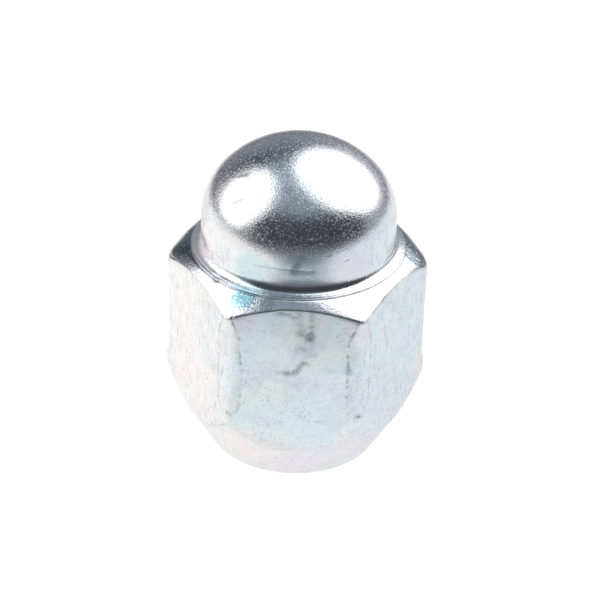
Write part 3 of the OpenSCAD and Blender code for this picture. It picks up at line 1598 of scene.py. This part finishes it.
    def _cuts(
        self, turn: np.ndarray, radius: np.ndarray, height: np.ndarray
    ) -> tuple[np.ndarray, np.ndarray]:
        """The creases, the collar's lines, the fold and the nicks.

        Args:
            turn: Each vertex's azimuth, in radians.
            radius: Its radius.
            height: Its height.

        Returns:
            How much painted shade they carry, from 0, and how deep.
        """
        crease = self._crease(height)
        from_foot = np.hypot(radius - self.collar_radius, height - self.hex_height)
        from_rim = np.hypot(radius - self.rim[0], height - self.rim[1])
        darkening, depth = self.collar_lines.shade_and_depth(turn, from_foot, from_rim)
        fold = self.fold.share(turn, height) * (np.abs(radius - self.cap_radius) < ON_SHAPE / 3)
        # The darkness of the creases, collar lines, fold and nicks is painted shade; their depth is shape.
        groove = crease + darkening + self.fold.shade_amount * fold
        depth = self.crease.depth * crease + depth + self.fold.depth * fold
        for nick in self.nicks:
            gap = nick.gap(turn, radius, height)
            groove = groove + nick.shade_amount * bell(gap, nick.reach * nick.shade_reach)
            depth = depth + nick.depth * bell(gap, nick.reach)
        return groove, depth

    def _crease(self, height: np.ndarray) -> np.ndarray:
        """How deep each vertex lies in a crease along the lands.

        Args:
            height: Its height.

        Returns:
            The share of the crease's depth, from 0 to 1.
        """
        crease = self.crease
        step = crease.lean_step
        half = self._land_half(height)
        lean = (self._land_half(height + step) - self._land_half(height - step)) / (2 * step)
        gap = (self._along(half) - half) / np.sqrt(1 + np.minimum(lean, crease.steepest) ** 2)
        place = height + crease.corner_apart * self.corner + crease.side_apart * self.side
        foot, full = (self.land_foot + fade for fade in crease.foot_fade)
        inside = ease(height, foot, full) * (1 - ease(height, *crease.top_fade))
        return crease.share(gap, place) * np.where(self.on_axis, crease.on_axis, 1.0) * inside

    @staticmethod
    def _normals(points: np.ndarray) -> np.ndarray:
        """The outward normals of the rows' vertices.

        Args:
            points: The rows' places.

        Returns:
            The unit normals.
        """
        along_row = np.roll(points, -1, axis=1) - np.roll(points, 1, axis=1)
        normal = np.cross(along_row, np.gradient(points, axis=0))
        return normal / np.maximum(np.linalg.norm(normal, axis=-1, keepdims=True), 1e-12)

    @staticmethod
    def _flat_rows(hexagonal: np.ndarray) -> tuple[int, int]:
        """The first and last rows that lie on the flats."""
        inside = np.flatnonzero(hexagonal.mean(axis=1) > 0.9)
        return int(inside[0]), int(inside[-1])

    @staticmethod
    def _last_inside(height: np.ndarray) -> int:
        """The last row of the flat end, which closes the inside."""
        flat = np.isclose(height.mean(axis=1), 0.0, atol=1e-6)
        return int(np.flatnonzero(flat)[-1])

    # ---- mesh

    @staticmethod
    def _mesh(points: np.ndarray, marks: np.ndarray) -> bpy.types.Mesh:
        """Closes the rows into a mesh with a vertex at either end of the axis.

        Args:
            points: The rows' places, in millimetres.
            marks: The values of each vertex, in the order of Mark.

        Returns:
            The mesh, with faces that point outwards.
        """
        count, width = points.shape[:2]
        first = np.array([[0.0, 0.0, points[0, :, 2].mean() + POLE_LIFT[0]]])
        last = np.array([[0.0, 0.0, points[-1, :, 2].mean() + POLE_LIFT[1]]])
        places = np.concatenate([points.reshape(-1, 3), first, last]) * MM
        here = range(width)
        there = [(column + 1) % width for column in here]
        faces: list[tuple[int, ...]] = []
        for row in range(count - 1):
            low, high = row * width, (row + 1) * width
            faces += [(low + a, low + b, high + b, high + a) for a, b in zip(here, there)]
        start, top = count * width, (count - 1) * width
        faces += [(start, b, a) for a, b in zip(here, there)]
        faces += [(top + a, top + b, start + 1) for a, b in zip(here, there)]
        mesh = bpy.data.meshes.new("nut_body")
        mesh.from_pydata(places.tolist(), [], faces)
        for mark, values in zip(Mark, marks):
            layer = mesh.attributes.new(mark.value, "FLOAT", "POINT")
            ends = [values[0, 0], values[-1, 0]]
            layer.data.foreach_set("value", np.concatenate([values.reshape(-1), ends]).astype(np.float32))
        mesh.shade_smooth()
        mesh.validate()
        return mesh


# --------------------------------------------------------------------------- the thread


@dataclass
class BoreThread:
    """Right-hand metric thread in the blind hole: one rib that follows a helix."""

    pitch: float = 1.5
    root_radius: float = 6.0
    crest_radius: float = 5.2
    flank_angle: float = 30.0
    bury: float = 0.12
    first: float = 0.9
    last: float = 18.6
    turn_points: int = 72
    fade: float = 0.03
    tip: float = 0.02
    finish: BrightZinc = BrightZinc()

    def build(self) -> bpy.types.Object:
        """Sweeps the rib along its helix and makes it a plain mesh.

        Returns:
            The finished piece, in metres at the origin.
        """
        height = self.root_radius + self.bury - self.crest_radius
        crest = self.pitch / 4
        flank = height * math.tan(math.radians(self.flank_angle))
        values = {
            "Turns": (self.last - self.first) / self.pitch,
            "Rise": (self.last - self.first) * MM,
            "Radius": (self.root_radius + self.bury) * MM,
            "Start": self.first * MM,
            "Crest width": crest * MM,
            "Root width": (crest + 2 * flank) * MM,
            "Rib height": height * MM,
            "Fade": self.fade,
            "Finish": self.finish.make(Material.THREAD, worn=False),
        }
        return grow("bore_thread", bpy.data.meshes.new("thread_start"), self._tree(), values)

    def _tree(self) -> bpy.types.NodeTree:
        """Builds the tree that sweeps a trapezoid along a helix, thinned out at both ends.

        Returns:
            The tree.
        """
        tree = bpy.data.node_groups.new("thread_rib", "GeometryNodeTree")
        graph = Graph(tree)
        given = graph.declare(
            ("Turns", "Rise", "Radius", "Start", "Crest width", "Root width", "Rib height", "Fade")
        )
        spiral = {
            "Resolution": self.turn_points,
            "Rotations": given["Turns"],
            "Start Radius": given["Radius"],
            "End Radius": given["Radius"],
            "Height": given["Rise"],
            "Reverse": True,
        }
        helix = graph.add("GeometryNodeCurveSpiral", None, spiral)[0]
        upright = graph.add("GeometryNodeSetCurveNormal", {"mode": "Z_UP"}, {"Curve": helix})[0]
        share = graph.add("GeometryNodeSplineParameter")[0]
        ends = share.math("MINIMUM", 1.0 - share) / given["Fade"]
        size = ends.math("MINIMUM", 1.0).math("MAXIMUM", self.tip)
        trapezoid = {
            "Height": given["Rib height"],
            "Bottom Width": given["Root width"],
            "Top Width": given["Crest width"],
            "Offset": 0.0,
        }
        kind = "GeometryNodeCurvePrimitiveQuadrilateral"
        section = graph.add(kind, {"mode": "TRAPEZOID"}, trapezoid)[0]
        inward = graph.join(given["Rib height"] * -0.5, 0.0, 0.0)
        quarter = (0.0, 0.0, math.pi / 2)
        turned = {"Geometry": section, "Rotation": quarter, "Translation": inward}
        profile = graph.add("GeometryNodeTransform", None, turned)[0]
        swept = {"Curve": upright, "Profile Curve": profile, "Scale": size, "Fill Caps": True}
        rib = graph.add("GeometryNodeCurveToMesh", None, swept)[0]
        lifted = graph.join(0.0, 0.0, given["Start"])
        placed = graph.add("GeometryNodeTransform", None, {"Geometry": rib, "Translation": lifted})[0]
        graph.close(placed, given["Finish"])
        return tree


# --------------------------------------------------------------------------- the studio


@dataclass(frozen=True)
class Softbox:
    """A round lamp that looks at the nut from one direction; its sizes are in metres."""

    name: str
    azimuth: float
    elevation: float
    width: float
    length: float
    glow: float = 1.6
    colour: Colour = (1.0, 1.0, 1.0)
    away: float = 0.30

    @property
    def power(self) -> float:
        """The lamp's power in watts, from the glow of its face."""
        return self.glow * math.pi * math.pi / 4 * self.width * self.length

    def hang(self, aim: Point) -> None:
        """Hangs the lamp, seen in reflections but not by the camera.

        Args:
            aim: The place that it looks at, in millimetres.
        """
        azimuth, elevation = math.radians(self.azimuth), math.radians(self.elevation)
        flat_way = Vector((math.sin(azimuth), -math.cos(azimuth), 0.0))
        way = flat_way * math.cos(elevation) + Vector((0.0, 0.0, math.sin(elevation)))
        data = bpy.data.lights.new(self.name, "AREA")
        data.shape = "ELLIPSE"
        data.size = self.width
        data.size_y = self.length
        data.energy = self.power
        data.color = self.colour
        lamp = put(self.name, data)
        turn = (-way).to_track_quat("-Z", "Y").to_matrix().to_4x4()
        lamp.matrix_world = Matrix.Translation(Vector(aim) * MM + way * self.away) @ turn
        lamp.visible_camera = False


@dataclass(frozen=True)
class Glow:
    """A pale side of the room: the way to it, the cosines between which it rises, its tone."""

    way: Point
    cosines: Span
    tone: Colour


@dataclass(frozen=True)
class Room:
    """The world: white to the camera, and to the metal a dim room that is brighter overhead."""

    tone: Colour = (0.062, 0.066, 0.078)
    seen: Colour = (1.0, 1.0, 1.0)
    glows: tuple[Glow, ...] = (
        Glow((0.0, 1.0, 0.0), (0.66, 0.93), (0.235, 0.25, 0.29)),
        Glow((-0.996, 0.087, 0.0), (0.62, 0.97), (0.52, 0.52, 0.54)),
        Glow((0.82, 0.57, 0.0), (0.60, 0.97), (0.50, 0.52, 0.55)),
        Glow((0.0, 0.0, 1.0), (0.60, 0.97), (0.305, 0.360, 0.435)),
    )

    def build(self) -> None:
        """Makes the world."""
        world = bpy.data.worlds.new("studio")
        bpy.context.scene.world = world
        world.use_nodes = True
        graph = Graph(world.node_tree)
        way = graph.way()
        tone: Any = self.tone
        for glow in self.glows:
            cosine = graph.vector("DOT_PRODUCT", way, glow.way)[1]
            tone = graph.mix(cosine.rise(*glow.cosines), tone, glow.tone)
        colour = graph.mix(graph.ray(Ray.CAMERA), tone, self.seen)
        shader = graph.add("ShaderNodeBackground", None, {"Color": colour, "Strength": 1.0})[0]
        graph.add("ShaderNodeOutputWorld", None, {"Surface": shader})


@dataclass(frozen=True)
class Floor:
    """A round floor just under the nut: pale to the camera, and painted with light and shadow where the
    metal mirrors it.

    Its radius and its drop are in metres.
    """

    radius: float = 1.5
    drop: float = 0.00002
    corners: int = 96
    seen: Colour = (0.96, 0.96, 0.96)
    matte: Colour = (0.16, 0.16, 0.16)
    left: Colour = (1.04, 1.01, 0.98)
    right: Colour = (0.80, 0.84, 0.87)
    left_side: Span = (22.0, -18.0)
    front: Colour = (0.82, 0.875, 0.92)
    front_middle: float = 2.0
    front_width: Span = (34.0, 4.0)
    front_start: Span = (-10.0, -22.0)
    dim: Colour = (0.11, 0.16, 0.19)
    dim_bearing: float = 0.09
    dim_narrow: float = 0.35
    dim_widening: float = 250.0
    dim_sides: Span = (1.4, 0.25)
    dim_start: Span = (34.2, 41.6)
    far: Colour = (0.09, 0.09, 0.10)
    far_front: Span = (-98.0, -60.0)
    far_back: Span = (135.0, 80.0)
    far_side: Span = (500.0, 100.0)

    def build(self) -> bpy.types.Object:
        """Makes the floor.

        Returns:
            The floor, at the origin.
        """
        turns = [FULL_TURN * i / self.corners for i in range(self.corners)]
        ring = [(self.radius * math.cos(turn), self.radius * math.sin(turn), -self.drop) for turn in turns]
        mesh = bpy.data.meshes.new("floor")
        mesh.from_pydata(ring, [], [tuple(range(self.corners))])
        mesh.materials.append(self._material())
        return put("floor", mesh)

    def _material(self) -> bpy.types.Material:
        """Makes the floor's material: a pale glow to the camera, over a matte that takes shadow.

        Returns:
            The material.
        """
        material = Material.FLOOR.new()
        graph = Graph(material.node_tree)
        camera = graph.ray(Ray.CAMERA)
        shiny = graph.ray(Ray.GLOSSY).math("MAXIMUM", graph.ray(Ray.TRANSMISSION))
        colour = graph.mix(camera, self._mirrored(graph), self.seen)
        glow = {"Color": colour, "Strength": camera.math("MAXIMUM", shiny)}
        emission = graph.add("ShaderNodeEmission", None, glow)[0]
        matte = graph.add("ShaderNodeBsdfDiffuse", None, {"Color": (*self.matte, 1.0)})[0]
        both = graph.add("ShaderNodeAddShader", None, {0: emission, 1: matte})[0]
        graph.add("ShaderNodeOutputMaterial", None, {"Surface": both})
        return material

    def _mirrored(self, graph: Graph) -> Term:
        """The floor as the metal mirrors it, with painted light on the left and painted shadow in front and
        far off.

        Args:
            graph: The material's tree.

        Returns:
            The colour.
        """
        x, y, _ = graph.split(graph.place())
        # Painted light: the floor is brighter and warmer on the left, greyer and bluer on the right, and
        # cooler in front of the nut.
        tone = graph.mix(x.rise(*self.left_side), self.right, self.left)
        front = abs(x - self.front_middle).rise(*self.front_width) * y.rise(*self.front_start)
        tone = graph.mix(front, tone, self.front)
        # Painted shadow: a dark wedge on the floor in front, which widens away from the nut.
        span = (x * x + y * y) ** 0.5
        bearing = abs(x.math("ARCTAN2", y * -1.0) - self.dim_bearing)
        lean = bearing / (span / self.dim_widening + self.dim_narrow)
        tone = graph.mix(lean.rise(*self.dim_sides) * span.rise(*self.dim_start), tone, self.dim)
        # Painted shade: beyond a patch round the nut the floor is dark.
        near = y.rise(*self.far_front) * y.rise(*self.far_back) * abs(x).rise(*self.far_side)
        return graph.mix(near, self.far, tone)


@dataclass(frozen=True)
class Studio:
    """Plain floor and two softboxes in a dim room."""

    aim: Point = (0.0, 0.0, 20.0)
    softboxes: tuple[Softbox, ...] = (
        Softbox("softbox_left", -91, 35, 0.35, 0.39),
        Softbox("softbox_right", 120, 50, 0.46, 0.49),
    )
    room: Room = Room()
    floor: Floor = Floor()

    def build(self) -> bpy.types.Object:
        """Hangs the lamps and makes the world and the floor.

        Returns:
            The floor.
        """
        for softbox in self.softboxes:
            softbox.hang(self.aim)
        self.room.build()
        return self.floor.build()


@dataclass(frozen=True)
class Viewpoint:
    """The camera: a long lens that looks down on the nut from the front.

    Its clipping distances are in metres.
    """

    elevation: float = 32.007
    orbit: float = 0.28
    roll: float = 1.708
    away: float = 188.17
    aim_height: float = 12.745
    sideways: float = 0.284
    focal_pixels: float = 2253.7
    frame_pixels: int = 600
    sensor: float = 36.0
    clip: tuple[float, float] = (0.01, 10.0)

    def build(self) -> bpy.types.Object:
        """Makes the camera and hands it to the scene.

        Returns:
            The camera.
        """
        lift = math.radians(self.elevation)
        right = Vector((1, 0, 0))
        forward = Vector((0, math.cos(lift), -math.sin(lift)))
        up = right.cross(forward)
        place = Vector((0, 0, self.aim_height)) - forward * self.away + right * self.sideways
        tilt = math.radians(self.roll)
        across = math.cos(tilt) * right + math.sin(tilt) * up
        upright = -math.sin(tilt) * right + math.cos(tilt) * up
        stand = Matrix((across, upright, -forward)).transposed().to_4x4()
        data = bpy.data.cameras.new("camera")
        data.sensor_width = self.sensor
        data.lens = self.focal_pixels * self.sensor / self.frame_pixels
        data.clip_start, data.clip_end = self.clip
        camera = put("camera", data)
        orbit = Matrix.Rotation(math.radians(self.orbit), 4, "Z")
        camera.matrix_world = orbit @ Matrix.Translation(place * MM) @ stand
        bpy.context.scene.camera = camera
        return camera


def main() -> None:
    """Builds the nut, its thread and the studio, in that order."""
    logging.basicConfig(level=logging.INFO, format="%(name)s: %(message)s")
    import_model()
    bpy.context.scene.view_settings.view_transform = "Standard"

    body = NutBody().build()
    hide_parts(NODE)
    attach(body, BODY)
    LOG.info("%s: %d faces", body.name, len(body.data.polygons))

    thread = BoreThread().build()
    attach(thread, BODY)
    LOG.info("%s: %d faces", thread.name, len(thread.data.polygons))

    floor = Studio().build()
    LOG.info("%s: stage", floor.name)

    camera = Viewpoint().build()
    LOG.info("%s: %.1f mm lens", camera.name, camera.data.lens)


if __name__ == "__main__":
    main()
